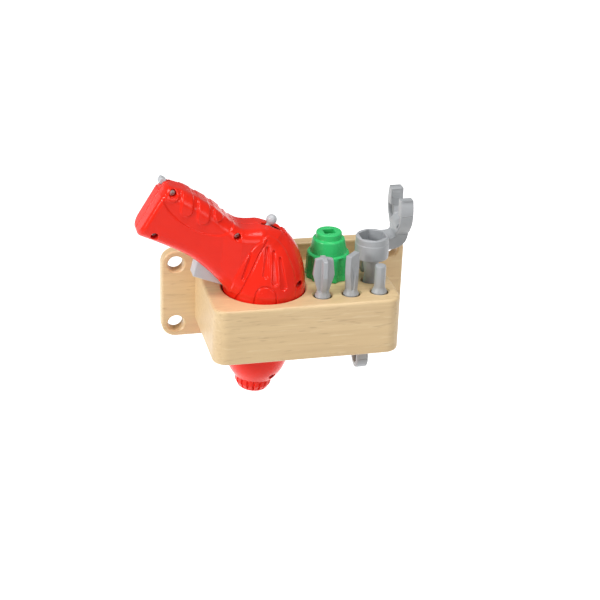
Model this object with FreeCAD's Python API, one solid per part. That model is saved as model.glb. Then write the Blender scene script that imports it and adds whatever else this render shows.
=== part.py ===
"""Toy tool holder: a beech back plate and tool block, a toy power drill and six hand tools.

Frame: origin at the centre of the plate's hole pattern, on the plate's back face.
+X is to the right, -Y points out of the wall towards the user, +Z is up. Millimetres.
"""
import FreeCAD, Part
import math
import os

V = FreeCAD.Vector
X_AXIS = V(1, 0, 0)
Y_AXIS = V(0, 1, 0)
Z_AXIS = V(0, 0, 1)

# Back plate
PLATE_W = 226.0
PLATE_H = 85.0
PLATE_T = 12.0
PLATE_CORNER_R = 13.0
PLATE_EDGE_R = 2.0
MOUNT_SPAN_X = 200.0
MOUNT_SPAN_Z = 59.0
MOUNT_HOLE_R = 7.5
MOUNT_HOLE_CHAMFER = 1.2

# Tool block, standing out of the plate's front face
BLOCK_LEFT = -82.5
BLOCK_RIGHT = 85.0
BLOCK_D = 95.0
BLOCK_TOP = 25.5
BLOCK_BOTTOM = -26.5
BLOCK_CORNER_R = 13.0
BLOCK_EDGE_R = 2.5
BLOCK_FRONT_Y = -PLATE_T - BLOCK_D

# Holes in the block's top; a cutter this long passes through the block
THROUGH = 60.0
DRILL_HOLE_X = -30.0
DRILL_HOLE_Y = -59.4
DRILL_HOLE_R = 37.5
HOLE_EDGE_CHAMFER = 1.2
BIT_ROW_Y = -86.5
BIT_ROW_X = 17.1
BIT_PITCH = 25.7
BIT_HOLE_R = 8.1
BIT_HOLE_DEPTH = 26.0
SOCKET_X = 66.8
SOCKET_Y = -62.5
ADAPTER_X = 31.2
ADAPTER_Y = -47.0

# Wrench and its slot
WRENCH_X = 64.0
WRENCH_Y = -34.0
WRENCH_T = 10.5
WRENCH_RING_R = 12.0
WRENCH_RING_HOLE_R = 6.6
WRENCH_RING_Z = -65.0
WRENCH_CRANK_LOW = 43.8
WRENCH_CRANK_HIGH = 57.0
WRENCH_JAW_X = 94.5
WRENCH_JAW_T = 11.5
WRENCH_JAW_TIP_Z = 95.0
WRENCH_SLOT_GAP = 0.6

# Fasteners between plate and block
BLOCK_SCREW_X = (-72.0, 52.0)
BLOCK_SCREW_Z = 12.0
BLOCK_SCREW_L = 37.0
BLOCK_DOWEL_X = 14.0
BLOCK_DOWEL_R = 4.0

# Drill, in its own frame: the spindle is the z axis and z = 0 is at the block's top face
DRILL_X = -29.6
DRILL_LEAN = 5.0
WALL = 2.6
BODY_R = 36.7
BODY_WIDEST_Z = -6.0
BODY_TOP_Z = 57.0
CONE_END_Z = -75.0
CONE_END_R = 26.8
NOSE_END_Z = -87.5
NOSE_END_R = 18.2

# Handle sections, outer face: (x, z) of the top edge, (x, z) of the bottom edge, half width
HANDLE_SECTIONS = (
    ((-98.6, 93.5), (-118.2, 54.5), 13.0),
    ((-95.0, 96.0), (-116.5, 50.5), 17.0),
    ((-79.0, 91.0), (-96.5, 42.5), 17.5),
    ((-60.0, 80.5), (-72.0, 31.8), 18.0),
    ((-41.0, 67.0), (-51.0, 16.0), 19.5),
    ((-24.0, 59.5), (-35.0, 2.0), 22.5),
    ((-8.0, 59.5), (-14.0, 0.0), 22.0),
    ((6.0, 54.5), (5.0, 5.0), 17.0),
)
HANDLE_CORNER_R = 12.0

# Drill internals
GEAR_MODULE = 0.8
PINION_TEETH = 10
GEAR_TEETH = 30
GEAR_Z = -44.0
GEAR_T = 7.0
MOTOR_R = 11.5
MOTOR_Z = -32.0
MOTOR_L = 32.0
SPINDLE_R = 3.0
BUSH_R = 6.5
BUSH_Z = -80.0
BUSH_L = 8.0
RUNNING_FIT = 0.05
CHUCK_TOP_Z = -88.0
CHUCK_END_Z = -99.5
CHUCK_R = 16.6
CHUCK_BORE_R = 7.0
BATTERY_R = 7.1
BATTERY_L = 50.0
BATTERY_START = (-101.5, 72.8)
BATTERY_ROWS = (6.6, -8.4)
BATTERY_TILT = 24.0

# Drill controls
TRIGGER_PIVOT = (-32.0, 10.0)
TRIGGER_HALF_W = 7.5
TRIGGER_PIN_R = 1.5
LEVER_BASE = (-2.4, 58.8)
LEVER_SLOPE = 25.0
LEVER_BALL_R = 4.7
LEVER_STEM_R = 2.2
LEVER_BACK = 3.5
LEVER_AHEAD = 10.0
BUTTON_PRESS = 1.5

# Screws in the drill housing: (x, z) in the drill's frame, and y of the recess floor
HOUSING_SCREWS = (
    (-91.7, 90.5, -9.0),
    (-104.4, 52.5, -7.0),
    (-33.5, 54.5, -13.0),
    (24.7, 12.5, -14.0),
    (12.3, -81.5, -8.0),
)
SCREW_POST_R = 4.2
SCREW_RECESS_R = 3.2
SCREW_HEAD_R = 2.2
SCREW_HEAD_H = 1.8
SCREW_SHANK_R = 1.2
SCREW_DEPTH = 8.0


def box(x0, x1, y0, y1, z0, z1):
    """Box between two corners."""
    return Part.makeBox(x1 - x0, y1 - y0, z1 - z0, V(x0, y0, z0))


def rod(x, y, z, radius, length, axis=Z_AXIS):
    """Cylinder that starts at a point and runs along an axis."""
    return Part.makeCylinder(radius, length, V(x, y, z), axis)


def fuse(shapes):
    """One solid from several that overlap."""
    whole = shapes[0].multiFuse(shapes[1:])
    return whole.removeSplitter()


def single(shape):
    """The largest solid of a shape, for a cut that leaves one piece."""
    return max(shape.Solids, key=lambda solid: solid.Volume)


def edges_along(shape, axis, keep):
    """Straight edges parallel to an axis whose midpoint passes a test."""
    found = []
    for edge in shape.Edges:
        start = edge.Vertexes[0].Point
        end = edge.Vertexes[-1].Point
        run = end - start
        straight = run.Length > 1e-6 and abs(abs(run.normalize().dot(axis)) - 1) < 1e-6
        if straight and keep((start + end) * 0.5):
            found.append(edge)
    return found


def edges_at(shape, test):
    """Edges whose whole bounding box passes a test."""
    return [edge for edge in shape.Edges if test(edge.BoundBox)]


def revolve(points, x=0.0, y=0.0, z=0.0):
    """Solid of revolution about a vertical axis; points are (radius, height) from the axis."""
    corners = [V(x + radius, y, z + height) for radius, height in points]
    face = Part.Face(Part.makePolygon(corners + corners[:1]))
    return face.revolve(V(x, y, z), Z_AXIS, 360)


def extruded_xz(points, y0, y1):
    """Prism between two Y values of an outline in the XZ plane."""
    corners = [V(px, y0, pz) for px, pz in points]
    face = Part.Face(Part.makePolygon(corners + corners[:1]))
    return face.extrude(V(0, y1 - y0, 0))


def on_rack(shape):
    """Move a drill part from the drill's frame to where it stands in the block."""
    placed = shape.copy()
    placed.rotate(V(0, 0, 0), Y_AXIS, DRILL_LEAN)
    placed.translate(V(DRILL_X, DRILL_HOLE_Y, BLOCK_TOP))
    return placed


# ---------------------------------------------------------------- rack

def mount_points():
    """Centres of the four mounting holes."""
    return [(sx * MOUNT_SPAN_X / 2, sz * MOUNT_SPAN_Z / 2) for sx in (-1, 1) for sz in (-1, 1)]


def block_screw_points():
    """Centres of the screws that hold the block to the plate."""
    return [(x, side * BLOCK_SCREW_Z) for x in BLOCK_SCREW_X for side in (-1, 1)]


def block_dowel_points():
    """Centres of the dowels between plate and block."""
    return [(BLOCK_DOWEL_X, side * BLOCK_SCREW_Z) for side in (-1, 1)]


def block_screw(x, z, gap=0.0):
    """Countersunk wood screw entering from the plate's back face; gap makes it a hole."""
    head = Part.makeCone(4.2 + gap, 2.0 + gap, 2.6, V(x, 0, z), -Y_AXIS)
    shank = rod(x, 0, z, 2.0 + gap, BLOCK_SCREW_L + gap, -Y_AXIS)
    return head.fuse(shank).removeSplitter()


def block_dowel(x, z, gap=0.0):
    """Round dowel half in the plate and half in the block."""
    return rod(x, -4.0 + gap, z, BLOCK_DOWEL_R + gap, 24.0 + 2 * gap, -Y_AXIS)


def make_back_plate():
    """Rounded plate with four mounting holes, chamfered in front."""
    plate = box(-PLATE_W / 2, PLATE_W / 2, -PLATE_T, 0, -PLATE_H / 2, PLATE_H / 2)
    plate = plate.makeFillet(PLATE_CORNER_R, edges_along(plate, Y_AXIS, lambda mid: True))
    rim = edges_at(plate, lambda bb: bb.YLength < 1e-6)
    plate = plate.makeFillet(PLATE_EDGE_R, rim)
    for x, z in mount_points():
        plate = plate.cut(rod(x, 1, z, MOUNT_HOLE_R, PLATE_T + 2, -Y_AXIS))
        wide = MOUNT_HOLE_R + MOUNT_HOLE_CHAMFER
        front = V(x, -PLATE_T, z)
        plate = plate.cut(Part.makeCone(wide, MOUNT_HOLE_R, MOUNT_HOLE_CHAMFER, front, Y_AXIS))
    for x, z in block_screw_points():
        plate = plate.cut(block_screw(x, z, RUNNING_FIT))
    for x, z in block_dowel_points():
        plate = plate.cut(block_dowel(x, z, RUNNING_FIT))
    return single(plate)


def wrench_slot():
    """Slot that the wrench's ring end passes through."""
    half = WRENCH_RING_R + WRENCH_SLOT_GAP
    x0 = WRENCH_X - WRENCH_SLOT_GAP
    x1 = WRENCH_X + WRENCH_T + WRENCH_SLOT_GAP
    slot = box(x0, x1, WRENCH_Y - half, WRENCH_Y + half, -THROUGH, THROUGH)
    return slot.makeFillet(2.0, edges_along(slot, Z_AXIS, lambda mid: True))


def bit_points():
    """Centres of the three bit holes."""
    return [(BIT_ROW_X + i * BIT_PITCH, BIT_ROW_Y) for i in range(3)]


def make_tool_block():
    """Block with a large through hole, five blind holes and a through slot."""
    block = box(BLOCK_LEFT, BLOCK_RIGHT, BLOCK_FRONT_Y, -PLATE_T, BLOCK_BOTTOM, BLOCK_TOP)
    upright = edges_along(block, Z_AXIS, lambda mid: mid.y < BLOCK_FRONT_Y + 1)
    block = block.makeFillet(BLOCK_CORNER_R, upright)

    def on_outer_rim(bb):
        flat = bb.ZLength < 1e-6
        return flat and bb.YMin < -PLATE_T - 1
    block = block.makeFillet(BLOCK_EDGE_R, edges_at(block, on_outer_rim))
    block = block.cut(rod(DRILL_HOLE_X, DRILL_HOLE_Y, -THROUGH, DRILL_HOLE_R, 2 * THROUGH))
    chamfers = [(DRILL_HOLE_X, DRILL_HOLE_Y, DRILL_HOLE_R)]
    blind = bit_points() + [(SOCKET_X, SOCKET_Y), (ADAPTER_X, ADAPTER_Y)]
    for x, y in blind:
        block = block.cut(rod(x, y, BLOCK_TOP - BIT_HOLE_DEPTH, BIT_HOLE_R, THROUGH))
        chamfers.append((x, y, BIT_HOLE_R))
    for x, y, radius in chamfers:
        base = V(x, y, BLOCK_TOP - HOLE_EDGE_CHAMFER)
        cone = Part.makeCone(radius, radius + HOLE_EDGE_CHAMFER, HOLE_EDGE_CHAMFER, base, Z_AXIS)
        block = block.cut(cone)
    block = block.cut(wrench_slot())
    for x, z in block_screw_points():
        block = block.cut(block_screw(x, z, RUNNING_FIT))
    for x, z in block_dowel_points():
        block = block.cut(block_dowel(x, z, RUNNING_FIT))
    return single(block)


# ---------------------------------------------------------------- loose tools

def flared_shank(x, y, neck_r):
    """Round shank that flares to a collar at the mouth of its hole."""
    foot = BLOCK_TOP - BIT_HOLE_DEPTH + 0.2
    shank_r = BIT_HOLE_R - 1.6
    collar_r = BIT_HOLE_R - 1.1
    return revolve([(0, foot), (shank_r - 0.8, foot), (shank_r, foot + 0.8), (shank_r, BLOCK_TOP - 3.0),
                    (collar_r, BLOCK_TOP - 0.5), (collar_r, BLOCK_TOP + 0.3),
                    (neck_r, BLOCK_TOP + 4.2), (0, BLOCK_TOP + 4.2)], x, y)


def bit_fin(x, y, turn, profile, fin_t):
    """Upright fin through a bit's axis; profile is (height over the block, half width)."""
    left = [(x - half, BLOCK_TOP + height) for height, half in profile]
    right = [(x + half, BLOCK_TOP + height) for height, half in reversed(profile)]
    fin = extruded_xz(left + right, y - fin_t / 2, y + fin_t / 2)
    fin.rotate(V(x, y, 0), Z_AXIS, turn)
    return fin


def make_cross_bit():
    """Large cross-head bit with two equal fins."""
    x, y = bit_points()[0]
    turn = -3.0
    fin_t = 4.4
    profile = [(1.0, 5.0), (5.5, 5.4), (20.0, 9.5), (34.2, 7.9), (35.8, 6.6)]
    fins = [bit_fin(x, y, turn + angle, profile, fin_t) for angle in (0, 90)]
    return fuse([flared_shank(x, y, 5.2)] + fins)


def make_flat_bit():
    """Flat-blade bit: one broad blade with a low rib across it."""
    x, y = bit_points()[1]
    turn = 44.0
    blade = bit_fin(x, y, turn, [(1.0, 4.8), (6.0, 5.0), (20.0, 7.6), (31.0, 7.5), (37.3, 6.9)], 5.6)
    rib = bit_fin(x, y, turn + 90.0, [(1.0, 4.8), (6.0, 5.0), (18.0, 5.4), (27.0, 2.9)], 5.6)
    return fuse([flared_shank(x, y, 5.0), blade, rib])


def make_pin_bit():
    """Short plain pin with a rounded top."""
    x, y = bit_points()[2]
    top = BLOCK_TOP + 25.0
    pin = revolve([(0, BLOCK_TOP), (5.0, BLOCK_TOP), (5.0, top - 1.5), (3.8, top), (0, top)], x, y)
    return fuse([flared_shank(x, y, 5.0), pin])


def hexagon(x, y, z, across_corners, height, turn):
    """Upright hexagonal prism."""
    corners = []
    for i in range(6):
        angle = math.radians(turn + 60 * i)
        reach = across_corners / 2
        corners.append(V(x + reach * math.cos(angle), y + reach * math.sin(angle), z))
    return Part.Face(Part.makePolygon(corners + corners[:1])).extrude(V(0, 0, height))


def make_hex_socket():
    """Socket cup with a hexagonal recess on a flared stem."""
    foot = BLOCK_TOP - BIT_HOLE_DEPTH + 0.2
    cup_low = BLOCK_TOP + 22.8
    cup_high = BLOCK_TOP + 43.3
    cup_r = 15.1
    body = revolve([(0, foot), (5.8, foot), (6.6, foot + 0.8), (6.6, BLOCK_TOP - 1.0), (5.5, BLOCK_TOP + 4.0),
                    (5.8, BLOCK_TOP + 10.0), (7.6, cup_low - 2.0), (8.2, cup_low), (cup_r - 1.2, cup_low), (cup_r, cup_low + 1.2),
                    (cup_r, cup_high - 1.0), (cup_r - 1.0, cup_high), (0, cup_high)], SOCKET_X, SOCKET_Y)
    recess = hexagon(SOCKET_X, SOCKET_Y, cup_high - 13.0, 26.0, 14.0, 30.0)
    return single(body.cut(recess))


def make_green_adapter():
    """Stepped adapter with a square hole, a ribbed skirt and a spigot in its hole."""
    foot = BLOCK_TOP - BIT_HOLE_DEPTH + 0.2
    skirt_r = 20.3
    skirt_top = BLOCK_TOP + 24.0
    tier_top = BLOCK_TOP + 37.0
    top = BLOCK_TOP + 43.0
    seat = BLOCK_TOP + 0.2
    body = revolve([(0, foot), (5.8, foot), (6.6, foot + 0.8), (6.6, seat), (skirt_r - 0.4, seat),
                    (skirt_r, seat + 1.0), (skirt_r - 1.4, skirt_top - 1.0), (skirt_r - 2.2, skirt_top),
                    (16.6, skirt_top), (14.2, tier_top - 1.0), (13.4, tier_top), (11.8, tier_top),
                    (11.4, top - 1.0), (10.4, top), (0, top)], ADAPTER_X, ADAPTER_Y)
    flute_r = 7.0
    flute_away = skirt_r + 4.9
    for i in range(12):
        angle = math.radians(30.0 * i + 22.7)
        x = ADAPTER_X + flute_away * math.cos(angle)
        y = ADAPTER_Y + flute_away * math.sin(angle)
        body = body.cut(rod(x, y, BLOCK_TOP - 1.0, flute_r, 23.5))
    half = 5.0
    hole = box(ADAPTER_X - half, ADAPTER_X + half, ADAPTER_Y - half, ADAPTER_Y + half, top - 16.0, top + 1.0)
    return single(body.cut(hole))


def make_wrench():
    """Cranked wrench: ring end below, handle in the slot, open jaw above and to the right."""
    x0 = WRENCH_X
    x1 = WRENCH_X + WRENCH_T
    yc = WRENCH_Y
    jaw_x0 = WRENCH_JAW_X
    jaw_x1 = WRENCH_JAW_X + WRENCH_JAW_T
    low = WRENCH_CRANK_LOW
    high = WRENCH_CRANK_HIGH

    def side_plate(outline, px0, px1):
        corners = [V(px0, yc + q, z) for q, z in outline]
        return Part.Face(Part.makePolygon(corners + corners[:1])).extrude(V(px1 - px0, 0, 0))

    def mirrored(half):
        return half + [(-q, z) for q, z in reversed(half)]

    seat = BLOCK_TOP + 0.2
    neck = WRENCH_RING_Z + 8.0
    shank = side_plate(mirrored([(8.2, neck), (10.8, BLOCK_TOP - 8.0), (11.6, seat), (12.9, seat),
                                 (12.9, seat + 4.0), (10.2, low - 4.0), (10.0, high)]), x0, x1)
    ring = Part.makeCylinder(WRENCH_RING_R, WRENCH_T, V(x0, yc, WRENCH_RING_Z), X_AXIS)
    ring_hole = Part.makeCylinder(WRENCH_RING_HOLE_R, WRENCH_T + 2, V(x0 - 1, yc, WRENCH_RING_Z), X_AXIS)
    crank = box(x0, jaw_x1, yc - 10.0, yc + 10.0, low, high)
    outer_left = edges_along(crank, Y_AXIS, lambda mid: mid.x < x0 + 1 and mid.z > low + 1)
    outer_right = edges_along(crank, Y_AXIS, lambda mid: mid.x > x0 + 1 and mid.z < low + 1)
    crank = crank.makeFillet(11.0, outer_left + outer_right)
    shank = shank.common(fuse([box(x0, x1, yc - 20, yc + 20, neck, low + 5), crank]))
    neck_high = 66.0
    upright = box(jaw_x0, jaw_x1, yc - 10.0, yc + 10.0, high - 1.0, neck_high)
    jaw = side_plate(mirrored([(9.0, 61.5), (15.5, 66.0), (20.0, 73.0), (21.5, 81.0), (20.6, 89.0),
                               (18.6, WRENCH_JAW_TIP_Z)]), jaw_x0, jaw_x1)
    mouth = side_plate(mirrored([(4.0, 66.5), (11.5, 77.7), (11.5, WRENCH_JAW_TIP_Z + 2)]),
                       jaw_x0 - 1, jaw_x1 + 1)
    web_inset = 3.0
    pocket = side_plate(mirrored([(7.5, 64.0), (13.4, 68.2), (17.2, 74.4), (18.2, 79.0)]),
                        jaw_x0 - 1, jaw_x0 + web_inset)
    wrench = fuse([shank, ring, crank, upright, jaw])
    return single(wrench.cut(mouth).cut(pocket).cut(ring_hole))


# ---------------------------------------------------------------- drill housing

def body_solid(inset):
    """Dome, barrel and cone of the drill, drawn inside its outer face by an inset."""
    radius = BODY_R - inset
    top = BODY_TOP_Z - inset
    rise = top - BODY_WIDEST_Z
    cone_r = CONE_END_R - inset
    end_r = NOSE_END_R - inset
    end_z = NOSE_END_Z + inset
    shoulder_z = CONE_END_Z + 0.4 * inset
    widest = V(radius, 0, BODY_WIDEST_Z)
    apex = V(0, 0, top)
    dome = Part.BSplineCurve()
    steps = [math.radians(a) for a in (0, 15, 30, 45, 60, 75, 90)]
    dome.interpolate([V(radius * math.cos(a), 0, BODY_WIDEST_Z + rise * math.sin(a)) for a in steps])
    edges = [
        Part.makeLine(V(0, 0, end_z), V(end_r, 0, end_z)),
        Part.makeLine(V(end_r, 0, end_z), V(cone_r, 0, shoulder_z)),
        Part.makeLine(V(cone_r, 0, shoulder_z), widest),
        dome.toShape(),
        Part.makeLine(apex, V(0, 0, end_z)),
    ]
    return Part.Face(Part.Wire(edges)).revolve(V(0, 0, 0), Z_AXIS, 360)


def handle_section(top, bottom, half_w, inset):
    """Rounded rectangle across the handle, between its top and bottom edges."""
    centre = V((top[0] + bottom[0]) / 2, 0, (top[1] + bottom[1]) / 2)
    across = V(top[0] - bottom[0], 0, top[1] - bottom[1])
    half_h = across.Length / 2 - inset
    across.normalize()
    half_w = half_w - inset
    corner = min(HANDLE_CORNER_R - inset, half_w - 1.0)

    def point(u, v):
        return centre + Y_AXIS * u + across * v
    flat_u = half_w - corner
    flat_v = half_h - corner
    bend = corner * math.cos(math.radians(45))
    edges = []
    for su, sv in ((1, 1), (-1, 1), (-1, -1), (1, -1)):
        start = point(su * half_w, sv * flat_v)
        middle = point(su * (flat_u + bend), sv * (flat_v + bend))
        end = point(su * flat_u, sv * half_h)
        if su * sv < 0:
            start, end = end, start
        edges.append((start, middle, end))
    wire = []
    for i, (start, middle, end) in enumerate(edges):
        wire.append(Part.Arc(start, middle, end).toShape())
        wire.append(Part.makeLine(end, edges[(i + 1) % 4][0]))
    return Part.Wire(wire)


def handle_solid(inset):
    """Handle lofted through its sections, drawn inside its outer face by an inset."""
    wires = []
    for i, (top, bottom, half_w) in enumerate(HANDLE_SECTIONS):
        if inset and i == 0:
            continue
        wires.append(handle_section(top, bottom, half_w, inset))
    return Part.makeLoft(wires, True, False)


def battery_frame(shape):
    """Move a shape drawn along +X at the origin to the battery line inside the handle."""
    placed = shape.copy()
    placed.rotate(V(0, 0, 0), Y_AXIS, BATTERY_TILT)
    placed.translate(V(BATTERY_START[0], 0, BATTERY_START[1]))
    return placed


def lever_frame(shape):
    """Move a shape drawn along +X at the origin to the sloping slot on top of the drill."""
    placed = shape.copy()
    placed.rotate(V(0, 0, 0), Y_AXIS, LEVER_SLOPE)
    placed.translate(V(LEVER_BASE[0], 0, LEVER_BASE[1]))
    return placed


def button_block(gap):
    """Lock button through the handle's end wall; a gap makes it the hole, with room to press."""
    deep = -2.6
    if gap:
        deep += BUTTON_PRESS + 1.0
    return battery_frame(box(-8.6 - gap, deep, 3.5 - gap, 12.0 + gap, 18.4 - gap, 24.0 + gap))


def door_block(gap):
    """Block that outlines the battery door on the handle's rear side."""
    return battery_frame(box(1.0 - gap, 46.0 + gap, 10.0, 30.0, -9.5 - gap, 9.5 + gap))


def drill_outer():
    """Whole outer form of the drill."""
    return body_solid(0.0).fuse(handle_solid(0.0))


def drill_cavity():
    """Whole space inside the drill's walls."""
    return body_solid(WALL).fuse(handle_solid(WALL))


def housing_ribs(cavity):
    """Webs that carry the motor, the spindle and the bush."""
    span = 60.0
    motor_x = -pinion_offset()
    low_web = cavity.common(box(-span, span, -span, span, MOTOR_Z - 3.0, MOTOR_Z))
    low_web = low_web.cut(rod(motor_x, 0, MOTOR_Z - 4.0, 3.0, 5.0))
    low_web = low_web.cut(rod(0, 0, MOTOR_Z - 4.0, SPINDLE_R + RUNNING_FIT, 5.0))
    motor_top = MOTOR_Z + MOTOR_L + 0.1
    high_web = cavity.common(box(-29.0, 0.0, -span, span, motor_top, motor_top + 2.0))
    high_web = high_web.cut(rod(motor_x, 0, motor_top - 1.0, 6.0, 4.0))
    bush_web = cavity.common(box(-span, span, -span, span, BUSH_Z + 1.5, BUSH_Z + BUSH_L - 1.5))
    bush_web = bush_web.cut(rod(0, 0, BUSH_Z, BUSH_R, BUSH_L))
    return [low_web, high_web, bush_web]


def housing_posts(outer):
    """Screw posts and trigger pin bosses that cross the housing."""
    posts = []
    for x, z, _ in HOUSING_SCREWS:
        posts.append(rod(x, -50, z, SCREW_POST_R, 100, Y_AXIS).common(outer))
    px, pz = TRIGGER_PIVOT
    for side in (-1, 1):
        boss = rod(px, side * 11.5, pz, 3.2, 12.0, V(0, side, 0))
        posts.append(boss.common(outer))
    return posts


def housing_screw(x, z, floor_y, gap=0.0):
    """Pan-head screw; a gap makes it the hole and the recess above its head."""
    shank = rod(x, floor_y, z, SCREW_SHANK_R + gap, SCREW_DEPTH - floor_y + gap, Y_AXIS)
    if gap:
        head = rod(x, -60.0, z, SCREW_RECESS_R, 60.0 + floor_y, Y_AXIS)
    else:
        head = rod(x, floor_y - SCREW_HEAD_H, z, SCREW_HEAD_R, SCREW_HEAD_H, Y_AXIS)
        for half_x, half_z in ((1.6, 0.35), (0.35, 1.6)):
            top = floor_y - SCREW_HEAD_H
            head = head.cut(box(x - half_x, x + half_x, top - 1.0, top + 0.8, z - half_z, z + half_z))
    return head.fuse(shank).removeSplitter()


def drill_housing():
    """Hollow housing with its webs, posts and openings, before it is split."""
    outer = drill_outer()
    cavity = drill_cavity()
    shell = outer.cut(cavity)
    for piece in housing_ribs(cavity) + housing_posts(outer):
        shell = shell.fuse(piece)
    px, pz = TRIGGER_PIVOT
    half = TRIGGER_HALF_W + 0.5
    cuts = [
        box(-68.2, -34.0, -half, half, 1.2, 38.0),
        rod(px, -14.0, pz, TRIGGER_PIN_R, 28.0, Y_AXIS),
        lever_frame(box(-LEVER_BACK - 2.8, LEVER_AHEAD + 2.8, -2.8, 2.8, -7.0, 12.0)),
        lever_frame(box(-LEVER_BACK - 6.0, LEVER_AHEAD + 6.0, -6.5, 6.5, 0.0, 12.0)),
        button_block(0.3),
        rod(0, 0, NOSE_END_Z - 1.0, 5.5, WALL + 2.0),
    ]
    for x, z, floor_y in HOUSING_SCREWS:
        cuts.append(housing_screw(x, z, floor_y, RUNNING_FIT))
    for piece in cuts:
        shell = shell.cut(piece)
    return shell


def make_gear(teeth, bore_r, z0, thickness, turn):
    """Straight-toothed gear with slim trapezoid teeth, centred on the z axis."""
    pitch_r = GEAR_MODULE * teeth / 2
    root_r = pitch_r - 1.15 * GEAR_MODULE
    tip_r = pitch_r + 0.85 * GEAR_MODULE
    pitch_angle = 360.0 / teeth
    corners = []
    for i in range(teeth):
        middle = turn + i * pitch_angle
        for radius, share in ((root_r, -0.33), (tip_r, -0.11), (tip_r, 0.11), (root_r, 0.33)):
            angle = math.radians(middle + share * pitch_angle)
            corners.append(V(radius * math.cos(angle), radius * math.sin(angle), z0))
    gear = Part.Face(Part.makePolygon(corners + corners[:1])).extrude(V(0, 0, thickness))
    if bore_r:
        gear = gear.cut(rod(0, 0, z0 - 1.0, bore_r, thickness + 2.0))
    return gear


def pinion_offset():
    """Distance between the spindle's and the motor's axes."""
    return GEAR_MODULE * (GEAR_TEETH + PINION_TEETH) / 2


def make_drive_gear():
    """Gear on the spindle; a tooth gap faces the pinion."""
    return make_gear(GEAR_TEETH, SPINDLE_R, GEAR_Z, GEAR_T, 180.0 + 180.0 / GEAR_TEETH)


def make_motor_pinion():
    """Motor shaft with its pinion; a tooth faces the gear."""
    pinion = make_gear(PINION_TEETH, 0.0, GEAR_Z - 0.5, GEAR_T + 1.0, 0.0)
    shaft = rod(0, 0, GEAR_Z - 1.5, 1.0, MOTOR_Z + 6.0 - GEAR_Z)
    pinion = fuse([pinion, shaft])
    pinion.translate(V(-pinion_offset(), 0, 0))
    return pinion


def make_motor():
    """Motor can with a front boss and a bore for its shaft."""
    x = -pinion_offset()
    can = rod(x, 0, MOTOR_Z + 0.1, MOTOR_R, MOTOR_L - 0.1)
    boss = rod(x, 0, MOTOR_Z - 1.5, 2.9, 2.0)
    bore = rod(x, 0, MOTOR_Z - 2.0, 1.0 + RUNNING_FIT, 8.0)
    return can.fuse(boss).cut(bore).removeSplitter()


def make_spindle():
    """Steel shaft from the chuck to the drive gear."""
    low = CHUCK_END_Z + 8.0
    return rod(0, 0, low, SPINDLE_R, MOTOR_Z - 0.5 - low)


def make_spindle_bush():
    """Plain bearing for the spindle in the nose."""
    ring = rod(0, 0, BUSH_Z, BUSH_R, BUSH_L)
    return ring.cut(rod(0, 0, BUSH_Z - 1.0, SPINDLE_R + RUNNING_FIT, BUSH_L + 2.0))


def make_chuck():
    """Knurled chuck with a bore that takes the bits' shanks."""
    chuck = revolve([(0, CHUCK_TOP_Z), (CHUCK_R, CHUCK_TOP_Z), (CHUCK_R - 0.4, CHUCK_TOP_Z - 5.5),
                     (CHUCK_R - 3.4, CHUCK_END_Z + 1.0), (CHUCK_R - 4.6, CHUCK_END_Z), (0, CHUCK_END_Z)])
    for i in range(16):
        angle = math.radians(22.5 * i)
        x = (CHUCK_R + 0.6) * math.cos(angle)
        y = (CHUCK_R + 0.6) * math.sin(angle)
        chuck = chuck.cut(rod(x, y, CHUCK_END_Z - 1.0, 1.3, 9.5))
    chuck = chuck.cut(rod(0, 0, CHUCK_END_Z - 1.0, CHUCK_BORE_R, 9.0))
    return single(chuck.cut(rod(0, 0, CHUCK_END_Z, SPINDLE_R, 20.0)))


def make_batteries():
    """Two round cells side by side in the handle."""
    cells = []
    for row in BATTERY_ROWS:
        can = rod(0, 0, row, BATTERY_R, BATTERY_L - 1.2, X_AXIS)
        cap = rod(BATTERY_L - 1.2, 0, row, 2.7, 1.2, X_AXIS)
        cells.append(battery_frame(can.fuse(cap).removeSplitter()))
    return Part.makeCompound(cells)


def make_battery_contacts():
    """Contact plates across the cells' ends, with a spring under each negative end."""
    middle = sum(BATTERY_ROWS) / 2
    start = box(-3.3, -2.5, -5.0, 5.0, middle - 12.0, middle + 12.0)
    finish = box(BATTERY_L + 0.1, BATTERY_L + 0.9, -5.0, 5.0, middle - 12.0, middle + 12.0)
    springs = []
    for row in BATTERY_ROWS:
        springs.append(Part.makeCone(4.0, 2.0, 2.4, V(-2.5, 0, row), X_AXIS))
    plate = fuse([start] + springs)
    return Part.makeCompound([battery_frame(plate), battery_frame(finish)])


def make_trigger():
    """Rocking trigger: a wedge below the handle with a pivot lug inside the body."""
    px, pz = TRIGGER_PIVOT
    outline = [(-66.2, 11.4), (-64.6, 22.0), (-62.6, 30.5), (-50.0, 28.0), (-37.0, 15.0), (px, pz + 3.4),
               (px, pz - 3.4), (-38.5, 3.2)]
    wedge = extruded_xz(outline, -TRIGGER_HALF_W, TRIGGER_HALF_W)
    lug = rod(px, -TRIGGER_HALF_W, pz, 3.4, 2 * TRIGGER_HALF_W, Y_AXIS)
    trigger = wedge.fuse(lug).removeSplitter()
    trigger = trigger.cut(rod(px, -20, pz, TRIGGER_PIN_R + RUNNING_FIT, 40, Y_AXIS))
    return single(trigger)


def make_trigger_pin():
    """Pin that the trigger rocks on."""
    px, pz = TRIGGER_PIVOT
    return rod(px, -14.0, pz, TRIGGER_PIN_R, 28.0, Y_AXIS)


def make_trigger_spring():
    """Closed coils of the torsion spring on the pin, beside the trigger."""
    px, pz = TRIGGER_PIVOT
    coil = rod(px, 8.0, pz, 2.7, 3.2, Y_AXIS)
    return coil.cut(rod(px, 7.0, pz, TRIGGER_PIN_R + RUNNING_FIT, 6.0, Y_AXIS))


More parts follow.
